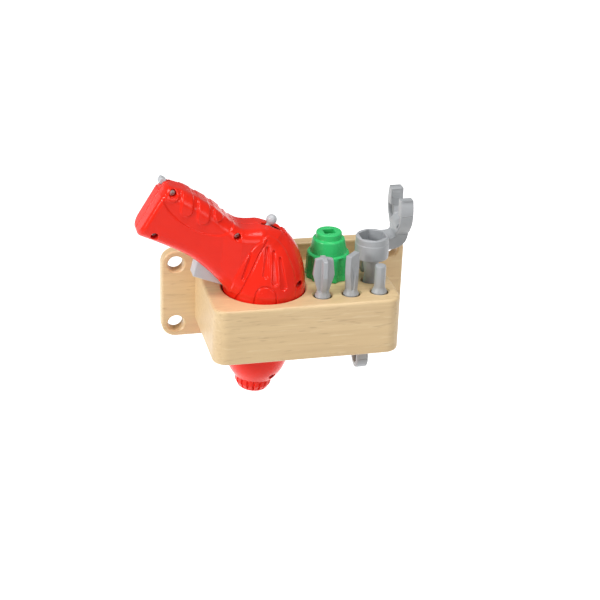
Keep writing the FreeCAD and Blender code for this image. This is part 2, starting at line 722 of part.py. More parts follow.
def make_gear_lever():
    """Ball-ended slide that stands in the sloping slot on top of the drill."""
    ball = Part.makeSphere(LEVER_BALL_R, V(0, 0, LEVER_BALL_R + 0.3))
    stem = rod(0, 0, -6.0, LEVER_STEM_R, 8.0)
    foot = box(-2.4, 5.0, -4.5, 4.5, -7.4, -5.4)
    return lever_frame(fuse([ball, stem, foot]))


def make_housing_screws():
    """The five screws that close the housing."""
    return Part.makeCompound([housing_screw(x, z, floor_y) for x, z, floor_y in HOUSING_SCREWS])


def main():
    """Build every node and write one STEP file for each."""
    shell = drill_housing()
    reach = 200.0
    front = shell.common(box(-reach, reach, -reach, 0, -reach, reach))
    rear = shell.common(box(-reach, reach, 0, reach, -reach, reach))
    door = shell.common(door_block(0.0))
    rear = rear.cut(door_block(0.3))
    nodes = {
        "back_plate": make_back_plate(),
        "tool_block": make_tool_block(),
        "block_screws": Part.makeCompound([block_screw(x, z) for x, z in block_screw_points()]),
        "block_dowels": Part.makeCompound([block_dowel(x, z) for x, z in block_dowel_points()]),
        "cross_bit": make_cross_bit(),
        "flat_bit": make_flat_bit(),
        "pin_bit": make_pin_bit(),
        "hex_socket": make_hex_socket(),
        "green_adapter": make_green_adapter(),
        "wrench": make_wrench(),
    }
    drill_nodes = {
        "housing_front": single(front),
        "housing_rear": single(rear),
        "battery_door": single(door),
        "housing_screws": make_housing_screws(),
        "trigger": make_trigger(),
        "trigger_pin": make_trigger_pin(),
        "trigger_spring": make_trigger_spring(),
        "gear_lever": make_gear_lever(),
        "lock_button": button_block(0.0),
        "batteries": make_batteries(),
        "battery_contacts": make_battery_contacts(),
        "motor": make_motor(),
        "motor_pinion": make_motor_pinion(),
        "drive_gear": make_drive_gear(),
        "spindle": make_spindle(),
        "spindle_bush": make_spindle_bush(),
        "chuck": make_chuck(),
    }
    for name, shape in drill_nodes.items():
        nodes[name] = on_rack(shape)
    os.makedirs("parts", exist_ok=True)
    for name, shape in nodes.items():
        shape.exportStep("parts/" + name + ".step")


main()
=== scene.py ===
import math
import bpy
import numpy as np
from mathutils import Matrix, Vector


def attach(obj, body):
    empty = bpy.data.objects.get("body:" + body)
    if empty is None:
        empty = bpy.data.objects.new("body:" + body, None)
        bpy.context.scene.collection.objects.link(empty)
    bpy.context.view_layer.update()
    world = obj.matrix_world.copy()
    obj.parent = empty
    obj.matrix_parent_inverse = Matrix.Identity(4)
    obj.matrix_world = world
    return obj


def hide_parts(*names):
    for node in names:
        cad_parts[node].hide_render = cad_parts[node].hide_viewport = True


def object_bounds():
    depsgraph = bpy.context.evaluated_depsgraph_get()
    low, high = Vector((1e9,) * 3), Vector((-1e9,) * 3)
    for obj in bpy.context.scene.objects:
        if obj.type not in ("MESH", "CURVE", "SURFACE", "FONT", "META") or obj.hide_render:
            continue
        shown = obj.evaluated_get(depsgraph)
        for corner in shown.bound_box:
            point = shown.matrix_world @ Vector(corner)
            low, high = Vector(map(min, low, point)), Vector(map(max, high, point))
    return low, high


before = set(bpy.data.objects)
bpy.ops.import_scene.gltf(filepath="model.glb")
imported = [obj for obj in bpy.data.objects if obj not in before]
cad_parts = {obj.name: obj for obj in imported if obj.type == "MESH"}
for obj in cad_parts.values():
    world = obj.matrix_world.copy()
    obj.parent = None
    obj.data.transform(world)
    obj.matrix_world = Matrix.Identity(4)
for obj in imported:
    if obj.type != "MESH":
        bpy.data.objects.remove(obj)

CAD_BOX = [list(corner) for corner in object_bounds()]
MM = 0.001  # metres in a millimetre

# ------------------------------------------------------------------ sizes, in millimetres
BLOCK_TOP = 25.5
DRILL_X = -29.6
DRILL_Y = -59.4
DRILL_LEAN = math.radians(5.0)
BIT_DEPTH = 26.0
WALL = 2.6

# Drill body: widest circle, top of its dome, and the ends of its two cones
BODY_R = 36.7
BODY_WIDEST_Z = -6.0
BODY_TOP_Z = 57.0
CONE_END = (26.8, -75.0)
NOSE_END = (18.2, -87.5)

# Handle seen from the side, and its half width along x
HANDLE_TOP = [(-112.0, 104.5), (-95.0, 96.0), (-79.0, 91.0), (-60.0, 80.8), (-50.0, 74.2), (-41.0, 67.0),
              (-30.0, 60.0), (-20.0, 58.8), (-8.0, 59.3), (6.0, 54.5)]
HANDLE_BOTTOM = [(5.0, 5.0), (-14.0, 0.0), (-35.0, 2.0), (-51.0, 16.0), (-72.0, 31.8), (-96.5, 42.5),
                 (-117.0, 50.0), (-130.0, 54.5)]
HANDLE_END = ((-118.2, 54.0), (-98.3, 94.0))
HANDLE_END_R = 4.0
HANDLE_WIDTH_X = [-116.0, -105.0, -87.0, -65.5, -45.5, -29.5, -11.0, 5.5]
HANDLE_WIDTH = [17.0, 17.2, 17.5, 18.0, 19.5, 22.5, 22.0, 17.0]
HANDLE_CORNER_R = 11.0

# Moulded details on the drill's two sides, in its x-z plane
GRIP = [(-103.3, 101.0), (-101.9, 90.7), (-97.2, 80.0), (-88.7, 70.6), (-77.7, 62.5), (-65.6, 57.2),
        (-49.8, 55.1), (-41.0, 59.0), (-34.6, 66.1), (-30.0, 75.0), (-60.0, 105.0), (-92.0, 115.0)]
GRIP_DEPTH = 0.8
PADS = [((-82.0, 108.0), (-83.8, 96.0), 3.6), ((-77.5, 108.0), (-79.3, 77.0), 5.2),
        ((-62.5, 100.0), (-64.4, 70.0), 5.2), ((-49.0, 90.0), (-50.4, 72.5), 4.6),
        ((-37.5, 84.0), (-39.0, 71.0), 4.6)]
PAD_RISE = 1.7
BOSS = (-92.3, 90.6, 6.4)
LEAF = [(-8.9, 54.6), (-17.5, 47.0), (-23.7, 37.1), (-29.2, 24.8), (-33.4, 12.5), (-35.0, -8.0),
        (-30.0, -30.0), (10.0, -30.0), (20.5, -8.0), (19.3, 19.6), (15.6, 31.4), (10.0, 43.2),
        (3.2, 50.9), (-4.3, 55.2)]
LEAF_RISE = 1.1
CREASE = [(-7.5, 52.0), (-13.2, 42.0), (-18.4, 29.2), (-23.3, 15.9), (-28.0, 2.1), (-31.0, -12.0)]
FLUTES = [((-20.8, 41.0), (-25.8, 18.0), 0.8, 1.4), ((-7.2, 46.5), (-8.2, 24.0), 1.1, 2.4),
          ((-1.2, 43.0), (0.2, 18.5), 1.1, 2.6), ((4.4, 38.0), (8.4, 14.0), 1.0, 2.8)]
ARCH = [(-15.6, -14.0), (-15.6, 0.0), (-14.7, 8.8), (-11.3, 13.4), (-6.0, 14.6), (-1.0, 12.4),
        (2.4, 6.8), (3.4, -14.0)]
GROOVE_DEPTH = 1.4
LINE_HALF = 0.6
LINE_SHARE = 0.7

# Openings and fixings of the drill's housing
SCREWS = [(-91.7, 90.5, -9.0), (-104.4, 52.5, -7.0), (-33.5, 54.5, -13.0), (24.7, 12.5, -14.0),
          (12.3, -81.5, -8.0)]
SCREW_RECESS_R = 3.2
POST_R = 5.0
LEVER_BASE = (-2.4, 58.8)
LEVER_SLOPE = math.radians(25.0)
BATTERY_START = (-101.5, 72.8)
BATTERY_TILT = math.radians(24.0)
TRIGGER_PIVOT = (-32.0, 10.0)
TRIGGER_LUG_R = 3.4
TRIGGER_PIN_R = 1.6
TRIGGER_HALF = 7.4
TRIGGER_SLOT_X = (-68.2, -34.0)
TRIGGER_SLOT_Z = (1.2, 38.0)
TRIGGER_SLOT_HALF = 8.0
LEVER_SLOT = (-6.3, 12.8)
LEVER_SLOT_HALF = 2.8
LEVER_RECESS = (-9.3, 14.2)
LEVER_RECESS_HALF = 6.5
LEVER_COLLAR = (14.4, 18.0)
LEVER_COLLAR_HALF = 7.0
LEVER_COLLAR_RISE = 1.4
SPINDLE_HOLE_R = 5.5
SPINDLE_R = 3.0
BUTTON_ALONG = (-8.6, -2.6)
BUTTON_ACROSS = (18.4, 24.0)
BUTTON_Y = (3.5, 12.0)
BUTTON_GAP = 0.3
DOOR_ALONG = (1.0, 46.0)
DOOR_HALF = 9.5
DOOR_INNER_Y = 10.0
SEAM_GAP = 0.02
SEAM_EDGE = 0.35
CUT_EDGE = 0.5
KNURLS = 18
KNURL_DEPTH = 2.4


# ------------------------------------------------------------------ fields
# A field is negative inside a shape and grows with the distance from its surface, in millimetres.

def smooth_min(a, b, k):
    """Union of two fields with a fillet."""
    h = np.clip(0.5 + 0.5 * (b - a) / k, 0.0, 1.0)
    return b + (a - b) * h - k * h * (1.0 - h)


def smooth_max(a, b, k):
    """Intersection of two fields with a rounded edge."""
    return -smooth_min(-a, -b, k)


def round_both(a, b, radius):
    """Intersection of two fields with an edge of that radius."""
    a = a + radius
    b = b + radius
    outside = np.hypot(np.maximum(a, 0.0), np.maximum(b, 0.0))
    return outside + np.minimum(np.maximum(a, b), 0.0) - radius


def outline(p, q, corners):
    """Field of a closed outline in a plane."""
    near = np.float32(1e9)
    inside = np.zeros(np.broadcast(p, q).shape, bool)
    for (ax, ay), (bx, by) in zip(corners, corners[1:] + corners[:1]):
        ex, ey = bx - ax, by - ay
        wx, wy = p - ax, q - ay
        t = np.clip((wx * ex + wy * ey) / (ex * ex + ey * ey), 0.0, 1.0)
        near = np.minimum(near, (wx - ex * t) ** 2 + (wy - ey * t) ** 2)
        if by != ay:
            inside ^= ((ay > q) != (by > q)) & (p < ex * (q - ay) / ey + ax)
    return np.where(inside, -1.0, 1.0) * np.sqrt(near)


def path(p, q, points):
    """Distance from an open line of points in a plane."""
    near = np.float32(1e9)
    for (ax, ay), (bx, by) in zip(points, points[1:]):
        ex, ey = bx - ax, by - ay
        t = np.clip(((p - ax) * ex + (q - ay) * ey) / (ex * ex + ey * ey), 0.0, 1.0)
        near = np.minimum(near, (p - ax - ex * t) ** 2 + (q - ay - ey * t) ** 2)
    return np.sqrt(near)


def curved(points, closed=True, parts=4):
    """Points of a smooth line through the given ones."""
    n = len(points)
    made = []
    for i in range(n if closed else n - 1):
        if closed:
            around = [points[(i + j) % n] for j in (-1, 0, 1, 2)]
        else:
            around = [points[min(max(i + j, 0), n - 1)] for j in (-1, 0, 1, 2)]
        a, b, c, d = (np.array(point, float) for point in around)
        for step in range(parts):
            t = step / parts
            spot = 0.5 * (2 * b + (c - a) * t + (2 * a - 5 * b + 4 * c - d) * t ** 2
                          + (3 * b - a - 3 * c + d) * t ** 3)
            made.append((float(spot[0]), float(spot[1])))
    if not closed:
        made.append(tuple(points[-1]))
    return made


def turned(r, z, side):
    """Field of a solid of revolution; side is its (radius, height) outline from foot to top."""
    return outline(r, z, side + [(-radius, height) for radius, height in reversed(side)])


def raised(distance, blur=0.7):
    """Smooth mask, 1 inside a plane figure and 0 outside it."""
    t = np.clip(0.5 - distance / (2.0 * blur), 0.0, 1.0)
    return t * t * (3.0 - 2.0 * t)


def slab(value, low, high):
    """Field of the space between two planes."""
    return np.maximum(low - value, value - high)


def tilted(x, z, base, angle):
    """Coordinates along and across a direction that slopes down to the right."""
    dx = x - base[0]
    dz = z - base[1]
    return (dx * math.cos(angle) - dz * math.sin(angle),
            dx * math.sin(angle) + dz * math.cos(angle))


# ------------------------------------------------------------------ meshes from fields

def sample_net(field, low, high, step):
    """Quad mesh of a field's zero surface inside a box: one vertex for each cell that it crosses."""
    axes = [np.arange(low[i], high[i] + step, step, dtype=np.float32) for i in range(3)]
    values = field(axes[0][:, None, None], axes[1][None, :, None], axes[2][None, None, :])
    values = np.ascontiguousarray(np.broadcast_to(values, [len(a) for a in axes]))
    inside = values < 0.0
    cells = np.array(values.shape) - 1
    total = np.zeros((cells.prod(), 3))
    count = np.zeros(cells.prod())
    quads = []
    for axis in range(3):
        before = [slice(None)] * 3
        after = [slice(None)] * 3
        before[axis] = slice(None, -1)
        after[axis] = slice(1, None)
        crossing = np.argwhere(inside[tuple(before)] != inside[tuple(after)])
        u, v = (axis + 1) % 3, (axis + 2) % 3
        crossing = crossing[(crossing[:, u] > 0) & (crossing[:, v] > 0)
                            & (crossing[:, u] < cells[u]) & (crossing[:, v] < cells[v])]
        there = crossing.copy()
        there[:, axis] += 1
        first = values[tuple(crossing.T)]
        second = values[tuple(there.T)]
        spot = crossing.astype(float)
        spot[:, axis] += first / (first - second)
        ring = []
        for du, dv in ((-1, -1), (0, -1), (0, 0), (-1, 0)):
            cell = crossing.copy()
            cell[:, u] += du
            cell[:, v] += dv
            index = np.ravel_multi_index(tuple(cell.T), cells)
            ring.append(index)
            count += np.bincount(index, minlength=len(count))
            for i in range(3):
                total[:, i] += np.bincount(index, weights=spot[:, i], minlength=len(count))
        ring = np.stack(ring, axis=1)
        flip = first > 0.0
        ring[flip] = ring[flip][:, ::-1]
        quads.append(ring)
    used = np.flatnonzero(count)
    renumber = np.full(len(count), -1)
    renumber[used] = np.arange(len(used))
    points = total[used] / count[used][:, None] * step + np.array(low, float)
    return points, renumber[np.concatenate(quads)]


def settle(field, points, step, rounds=3):
    """Points moved along the field's slope onto its zero surface."""
    h = 0.05
    for _ in range(rounds):
        x, y, z = points.T
        here = field(x, y, z)
        slope = np.stack([field(x + h, y, z) - here, field(x, y + h, z) - here,
                          field(x, y, z + h) - here], axis=1) / h
        steep = np.maximum((slope ** 2).sum(axis=1), 0.2)
        move = slope * (here / steep)[:, None]
        size = np.maximum(np.linalg.norm(move, axis=1), 1e-9)
        points = points - move * np.minimum(1.0, 0.4 * step / size)[:, None]
    return points


def in_drill(points):
    """Points of the drill's own frame, moved to where it stands in the block."""
    x, y, z = points.T
    c, s = math.cos(DRILL_LEAN), math.sin(DRILL_LEAN)
    return np.stack([x * c + z * s + DRILL_X, y + DRILL_Y, z * c - x * s + BLOCK_TOP], axis=1)


def piece(name, field, low, high, step, material, body, nodes, place=None):
    """Finished object made from a field, riding on a body in place of its CAD nodes."""
    points, quads = sample_net(field, low, high, step)
    points = settle(field, points, step)
    if place:
        points = place(points)
    mesh = bpy.data.meshes.new(name)
    mesh.from_pydata((points * MM).tolist(), [], quads.tolist())
    mesh.update()
    mesh.shade_smooth()
    mesh.materials.append(material)
    made = bpy.data.objects.new(name, mesh)
    bpy.context.scene.collection.objects.link(made)
    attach(made, body)
    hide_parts(*nodes)
    return made


# ------------------------------------------------------------------ materials

class Nodes:
    """Small helper that adds and links the shader nodes of one material."""

    def __init__(self, name):
        self.material = bpy.data.materials.new(name)
        self.material.use_nodes = True
        self.tree = self.material.node_tree
        self.shader = self.tree.nodes["Principled BSDF"]
        self.place = self.add("ShaderNodeTexCoord").outputs["Object"]

    def add(self, kind, **values):
        node = self.tree.nodes.new(kind)
        for key, value in values.items():
            setattr(node, key, value)
        return node

    def link(self, source, target):
        self.tree.links.new(source, target)

    def stretched(self, scale):
        node = self.add("ShaderNodeMapping")
        node.inputs["Scale"].default_value = scale
        self.link(self.place, node.inputs["Vector"])
        return node.outputs["Vector"]

    def noise(self, scale, detail=3.0, stretch=(1.0, 1.0, 1.0), distortion=0.0, rough=0.55):
        node = self.add("ShaderNodeTexNoise")
        node.inputs["Scale"].default_value = scale
        node.inputs["Detail"].default_value = detail
        node.inputs["Roughness"].default_value = rough
        node.inputs["Distortion"].default_value = distortion
        self.link(self.stretched(stretch), node.inputs["Vector"])
        return node.outputs["Fac"]

    def ramp(self, source, stops):
        node = self.add("ShaderNodeValToRGB")
        elements = node.color_ramp.elements
        while len(elements) < len(stops):
            elements.new(0.5)
        for element, (spot, colour) in zip(elements, stops):
            element.position = spot
            element.color = (*colour, 1.0)
        self.link(source, node.inputs["Fac"])
        return node.outputs["Color"]

    def remap(self, source, low, high, to_low, to_high):
        node = self.add("ShaderNodeMapRange")
        for key, value in (("From Min", low), ("From Max", high), ("To Min", to_low), ("To Max", to_high)):
            node.inputs[key].default_value = value
        self.link(source, node.inputs["Value"])
        return node.outputs["Result"]

    def mixed(self, share, first, second):
        node = self.add("ShaderNodeMix", data_type="RGBA", blend_type="MIX")
        for socket, value in ((node.inputs[0], share), (node.inputs[6], first), (node.inputs[7], second)):
            if isinstance(value, tuple):
                socket.default_value = (*value, 1.0)
            elif isinstance(value, float):
                socket.default_value = value
            else:
                self.link(value, socket)
        return node.outputs[2]

    def bump(self, layers):
        normal = None
        for height, strength, distance in layers:
            node = self.add("ShaderNodeBump")
            node.inputs["Strength"].default_value = strength
            node.inputs["Distance"].default_value = distance
            self.link(height, node.inputs["Height"])
            if normal:
                self.link(normal, node.inputs["Normal"])
            normal = node.outputs["Normal"]
        self.link(normal, self.shader.inputs["Normal"])


def moulded(name, colour, edge_highlight_colour, rough=0.32, coat=0.0, shine=0.5, mottle=0.12):
    """Moulded plastic: faint flow marks, a fine grain and a patchy painted highlight on convex edges."""
    n = Nodes(name)
    dark = tuple(channel * (1.0 - mottle) for channel in colour)
    flow = n.noise(38.0, 4.0, (1.0, 1.0, 1.6), 0.6)
    base = n.ramp(flow, [(0.3, dark), (0.65, colour)])
    # Paler colour on convex edges, broken into patches by noise: a painted edge highlight.
    edge = n.add("ShaderNodeNewGeometry").outputs["Pointiness"]
    highlight_patches = n.remap(n.noise(160.0, 5.0), 0.45, 0.7, 0.0, 1.0)
    painted_highlight_mask = n.add("ShaderNodeMath", operation="MULTIPLY")
    n.link(n.remap(edge, 0.53, 0.62, 0.0, 0.45), painted_highlight_mask.inputs[0])
    n.link(highlight_patches, painted_highlight_mask.inputs[1])
    n.link(n.mixed(painted_highlight_mask.outputs[0], base, edge_highlight_colour), n.shader.inputs["Base Color"])
    n.link(n.remap(n.noise(90.0, 6.0), 0.3, 0.7, rough - 0.06, rough + 0.08), n.shader.inputs["Roughness"])
    n.shader.inputs["Coat Weight"].default_value = coat
    n.shader.inputs["Coat Roughness"].default_value = 0.12
    n.shader.inputs["Specular IOR Level"].default_value = shine
    n.bump([(flow, 0.02, 0.0006), (n.noise(2600.0, 2.0), 0.03, 0.00005)])
    return n.material


def beech(name):
    """Steamed beech with its grain along x: soft bands, short dark flecks and paler rays."""
    n = Nodes(name)
    bands = n.noise(14.0, 3.0, (0.25, 1.6, 2.2), 0.5)
    streaks = n.noise(260.0, 4.0, (0.045, 1.0, 1.0), 0.2)
    fibres = n.noise(1100.0, 3.0, (0.03, 1.0, 1.0))
    base = n.ramp(bands, [(0.3, (0.72, 0.515, 0.275)), (0.52, (0.77, 0.565, 0.31)),
                          (0.75, (0.81, 0.61, 0.35))])
    streaked = n.mixed(n.remap(streaks, 0.42, 0.72, 0.0, 0.42), base, (0.60, 0.41, 0.215))
    flecks = n.remap(n.noise(520.0, 2.0, (0.10, 1.0, 0.8)), 0.60, 0.72, 0.0, 0.5)
    flecked = n.mixed(flecks, streaked, (0.52, 0.34, 0.18))
    rays = n.remap(n.noise(380.0, 2.0, (0.10, 0.8, 1.0), 0.4), 0.6, 0.72, 0.0, 0.4)
    rayed = n.mixed(rays, flecked, (0.86, 0.69, 0.43))
    n.link(rayed, n.shader.inputs["Base Color"])
    n.link(n.remap(fibres, 0.3, 0.7, 0.36, 0.52), n.shader.inputs["Roughness"])
    n.shader.inputs["Coat Weight"].default_value = 0.12
    n.shader.inputs["Coat Roughness"].default_value = 0.35
    n.bump([(streaks, 0.10, 0.0002), (fibres, 0.12, 0.0001)])
    return n.material


def metal(name, colour, rough=0.28, brushed=(1.0, 1.0, 1.0)):
    """Metal with fine drawn marks and uneven polish."""
    n = Nodes(name)
    dark = tuple(channel * 0.8 for channel in colour)
    marks = n.noise(900.0, 4.0, brushed)
    n.link(n.ramp(n.noise(120.0, 4.0), [(0.3, dark), (0.7, colour)]), n.shader.inputs["Base Color"])
    n.shader.inputs["Metallic"].default_value = 1.0
    n.link(n.remap(marks, 0.3, 0.7, rough - 0.08, rough + 0.14), n.shader.inputs["Roughness"])
    n.bump([(marks, 0.08, 0.00005)])
    return n.material


BEECH = beech("beech")
# The second colour of each plastic is the paler colour of its painted edge highlight.
RED = moulded("red_plastic", (0.90, 0.022, 0.008), (0.95, 0.14, 0.08), 0.20, 0.0, 0.3, 0.05)
GREEN = moulded("green_plastic", (0.04, 0.62, 0.175), (0.20, 0.72, 0.36), 0.26, 0.0, 0.4, 0.08)
GREY = moulded("tool_grey", (0.42, 0.435, 0.45), (0.60, 0.61, 0.62), 0.36, 0.0, 0.4, 0.08)
PALE = moulded("grey_plastic", (0.55, 0.56, 0.58), (0.72, 0.72, 0.73), 0.30, 0.0, 0.5, 0.06)
NYLON = moulded("white_nylon", (0.80, 0.79, 0.74), (0.9, 0.9, 0.87), 0.45)
LABEL = moulded("cell_label", (0.10, 0.11, 0.13), (0.3, 0.3, 0.3), 0.35, 0.2)
ZINC = metal("zinc_steel", (0.60, 0.59, 0.56), 0.34)
CAN = metal("motor_can", (0.66, 0.66, 0.66), 0.32, (1.0, 1.0, 0.1))
BRONZE = metal("bronze", (0.72, 0.45, 0.22), 0.35)

KEPT_NODES = {
    "back_plate": BEECH, "tool_block": BEECH, "block_dowels": BEECH, "block_screws": ZINC,
    "housing_screws": ZINC, "trigger_pin": ZINC, "trigger_spring": ZINC, "gear_lever": PALE,
    "batteries": LABEL, "battery_contacts": ZINC, "motor": CAN, "motor_pinion": BRONZE,
    "drive_gear": NYLON, "spindle": ZINC, "spindle_bush": BRONZE,
}
for node, material in KEPT_NODES.items():
    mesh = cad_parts[node].data
    mesh.materials.clear()
    mesh.materials.append(material)


# ------------------------------------------------------------------ drill

HANDLE_SIDE = curved(HANDLE_TOP, False, 3) + curved(HANDLE_BOTTOM, False, 3)
GRIP_EDGE = curved(GRIP)
LEAF_EDGE = curved(LEAF, True, 3)
CREASE_LINE = curved(CREASE, False, 3)
ARCH_LINE = curved(ARCH, False, 3)


def beside(p, q, start, end):
    """Distance from the straight line through two points, positive on its left."""
    ex, ey = end[0] - start[0], end[1] - start[1]
    return ((p - start[0]) * -ey + (q - start[1]) * ex) / math.hypot(ex, ey)


def drill_form(x, y, z):
    """Plain outer form of the drill: dome, barrel, two cones and the handle."""
    r = np.sqrt(x * x + y * y)
    rise = BODY_TOP_Z - BODY_WIDEST_Z
    up = np.maximum(z - BODY_WIDEST_Z, 0.0)
    reach = np.sqrt((r / BODY_R) ** 2 + (up / rise) ** 2)
    slope = np.sqrt((r / BODY_R ** 2) ** 2 + (up / rise ** 2) ** 2)
    dome = reach * (reach - 1.0) / np.maximum(slope, 1e-4)
    cone = beside(r, z, (BODY_R, BODY_WIDEST_Z), CONE_END)
    nose = beside(r, z, CONE_END, NOSE_END)
    body = smooth_max(smooth_max(dome, cone, 2.0), nose, 4.0)
    body = round_both(body, NOSE_END[1] - z, 1.2)
    side = outline(x, z, HANDLE_SIDE)
    width = np.abs(y) - np.interp(x, HANDLE_WIDTH_X, HANDLE_WIDTH)
    handle = round_both(side, width, HANDLE_CORNER_R)
    handle = round_both(handle, beside(x, z, *HANDLE_END), HANDLE_END_R)
    return smooth_min(body, handle, 7.0)


def drill_relief(x, z):
    """Height of the moulded details over the plain form, seen from the side."""
    grip = raised(outline(x, z, GRIP_EDGE), 0.5)
    boss = raised(np.hypot(x - BOSS[0], z - BOSS[1]) - BOSS[2], 0.5)
    pads = np.float32(0.0)
    for start, end, radius in PADS:
        pads = np.maximum(pads, raised(path(x, z, [start, end]) - radius, 0.9))
    height = grip * (-GRIP_DEPTH + PAD_RISE * pads * (1.0 - boss)) + boss * GRIP_DEPTH * 1.3
    leaf = raised(outline(x, z, LEAF_EDGE), 0.5)
    height = height + LEAF_RISE * leaf * np.clip((z - 0.5) / 4.0, 0.0, 1.0)
    flutes = np.float32(0.0)
    for start, end, narrow, wide in FLUTES:
        along = np.clip((start[1] - z) / (start[1] - end[1]), 0.0, 1.0)
        flute = path(x, z, [start, end]) - narrow - (wide - narrow) * along
        flutes = np.maximum(flutes, raised(flute, 0.5))
    lines = np.float32(0.0)
    for line in (CREASE_LINE, ARCH_LINE):
        lines = np.maximum(lines, raised(path(x, z, line) - LINE_HALF, 0.4))
    return height - GROOVE_DEPTH * np.maximum(flutes, LINE_SHARE * lines)


def drill_shell(x, y, z):
    """Whole housing: detailed skin, wall, screw posts and openings."""
    form = drill_form(x, y, z)
    sideways = np.clip((np.abs(y) - 7.0) / 7.0, 0.15, 1.0)
    skin = form - drill_relief(x, z) * sideways
    lever_x, lever_z = tilted(x, z, LEVER_BASE, LEVER_SLOPE)
    collar = np.maximum(slab(lever_x, *LEVER_COLLAR), slab(lever_z, -8.0, LEVER_COLLAR_RISE))
    collar = np.maximum(collar, np.abs(y) - LEVER_COLLAR_HALF)
    skin = smooth_min(skin, collar, 1.0)
    shell = np.maximum(skin, -(form + WALL))
    for px, pz, _ in SCREWS:
        post = np.hypot(x - px, z - pz) - POST_R
        shell = np.minimum(shell, np.maximum(skin, post))
    trigger_slot = np.maximum(slab(x, *TRIGGER_SLOT_X), slab(z, *TRIGGER_SLOT_Z))
    lever_slot = np.maximum(slab(lever_x, *LEVER_SLOT), slab(lever_z, -7.0, 20.0))
    lever_recess = np.maximum(slab(lever_x, *LEVER_RECESS), 0.2 - lever_z)
    button_x, button_z = tilted(x, z, BATTERY_START, BATTERY_TILT)
    pocket = np.maximum(slab(y, BUTTON_Y[0] - BUTTON_GAP, BUTTON_Y[1] + BUTTON_GAP),
                        slab(button_z, BUTTON_ACROSS[0] - BUTTON_GAP, BUTTON_ACROSS[1] + BUTTON_GAP))
    cuts = [
        np.maximum(trigger_slot, np.abs(y) - TRIGGER_SLOT_HALF),
        np.maximum(lever_slot, np.abs(y) - LEVER_SLOT_HALF),
        np.maximum(lever_recess, np.abs(y) - LEVER_RECESS_HALF),
        np.maximum(np.hypot(x, y) - SPINDLE_HOLE_R, z - NOSE_END[1] - 5.0),
        np.maximum(slab(button_x, -14.0, 0.2), pocket),
    ]
    for px, pz, floor in SCREWS:
        cuts.append(np.maximum(np.hypot(x - px, z - pz) - SCREW_RECESS_R, y - floor))
    for cut in cuts:
        shell = smooth_max(shell, -cut, CUT_EDGE)
    return shell


def door_outline(x, y, z, gap):
    """Block that outlines the battery door on the handle's rear side."""
    along, across = tilted(x, z, BATTERY_START, BATTERY_TILT)
    length = slab(along, DOOR_ALONG[0] - gap, DOOR_ALONG[1] + gap)
    height = slab(across, -DOOR_HALF - gap, DOOR_HALF + gap)
    return np.maximum(round_both(length, height, 1.5), DOOR_INNER_Y - y)


def front_half(x, y, z):
    """Front half of the housing."""
    return smooth_max(drill_shell(x, y, z), y + SEAM_GAP, SEAM_EDGE)


def rear_half(x, y, z):
    """Rear half of the housing, open at the battery door."""
    half = smooth_max(drill_shell(x, y, z), SEAM_GAP - y, SEAM_EDGE)
    return smooth_max(half, -door_outline(x, y, z, 0.2), 0.3)


def battery_cover(x, y, z):
    """Battery door."""
    return smooth_max(drill_shell(x, y, z), door_outline(x, y, z, -0.15), 0.3)


DRILL_STEP = 0.62
piece("drill_shell_front", front_half, (-120, -40, -89.5), (40, 2, 100), DRILL_STEP, RED, "drill",
      ["housing_front"], in_drill)
piece("drill_shell_rear", rear_half, (-120, -2, -89.5), (40, 40, 100), DRILL_STEP, RED, "drill",
      ["housing_rear"], in_drill)
piece("battery_cover", battery_cover, (-110, 8, 35), (-45, 22, 90), 0.5, RED, "battery_door",
      ["battery_door"], in_drill)


def trigger_field(x, y, z):
    """Rocking wedge below the handle, with its pivot lug."""
    px, pz = TRIGGER_PIVOT
    wedge = outline(x, z, [(-66.2, 11.4), (-64.6, 22.0), (-62.6, 30.5), (-50.0, 28.0), (-37.0, 15.0),
                           (px, pz + TRIGGER_LUG_R), (px, pz - TRIGGER_LUG_R), (-38.5, 3.2)])
    from_pin = np.hypot(x - px, z - pz)
    blade = round_both(np.minimum(wedge, from_pin - TRIGGER_LUG_R), np.abs(y) - TRIGGER_HALF, 1.2)
    return np.maximum(blade, TRIGGER_PIN_R - from_pin)


def button_field(x, y, z):
    """Lock button at the top of the handle's end."""
    along, across = tilted(x, z, BATTERY_START, BATTERY_TILT)
    face = round_both(slab(along, *BUTTON_ALONG), slab(across, *BUTTON_ACROSS), 1.6)
    return round_both(face, slab(y, *BUTTON_Y), 1.4)


def chuck_field(x, y, z):
    """Knurled chuck with its bore and a seat for the spindle."""
    r = np.sqrt(x * x + y * y)
    side = [(12.0, -99.5), (13.4, -98.4), (16.2, -93.5), (16.6, -88.0)]
    groove = np.cos(np.arctan2(y, x) * KNURLS)
    reach = np.clip((-88.6 - z) / 1.0, 0.0, 1.0) * np.clip((z + 98.0) / 1.5, 0.0, 1.0)
    knurl = np.clip(groove - 0.3, 0.0, 1.0) * KNURL_DEPTH * reach
    form = turned(r, z, side) + knurl
    bore = np.maximum(r - 7.0, z + 91.5)
    return smooth_max(np.maximum(form, SPINDLE_R - r), -bore, 0.6)


piece("trigger_blade", trigger_field, (-69, -9, 0), (-26, 9, 33), 0.4, PALE, "trigger",
      ["trigger"], in_drill)
piece("lock_slider", button_field, (-112, 2, 84), (-92, 14, 106), 0.3, PALE, "lock_button",
      ["lock_button"], in_drill)
piece("chuck_knurled", chuck_field, (-19, -19, -101.5), (19, 19, -86), 0.35, RED, "chuck",
      ["chuck"], in_drill)


# ------------------------------------------------------------------ loose tools

FOOT = BLOCK_TOP - BIT_DEPTH + 0.2
BIT_X = (17.1, 42.8, 68.5)
BIT_Y = -86.5


def above_block(side):
    """Outline heights measured from the block's top face."""
    return [(half, BLOCK_TOP + height) for height, half in side]


def flared_shank(r, z, neck_r):
    """Round shank that flares to a collar at the mouth of its hole."""
    in_hole = [(5.7, FOOT), (6.5, FOOT + 0.8)]
    collar = above_block([(-3.0, 6.5), (-0.5, 7.0), (0.2, 6.9), (0.5, 6.6), (4.2, neck_r), (4.4, 2.0)])
    return turned(r, z, in_hole + collar)


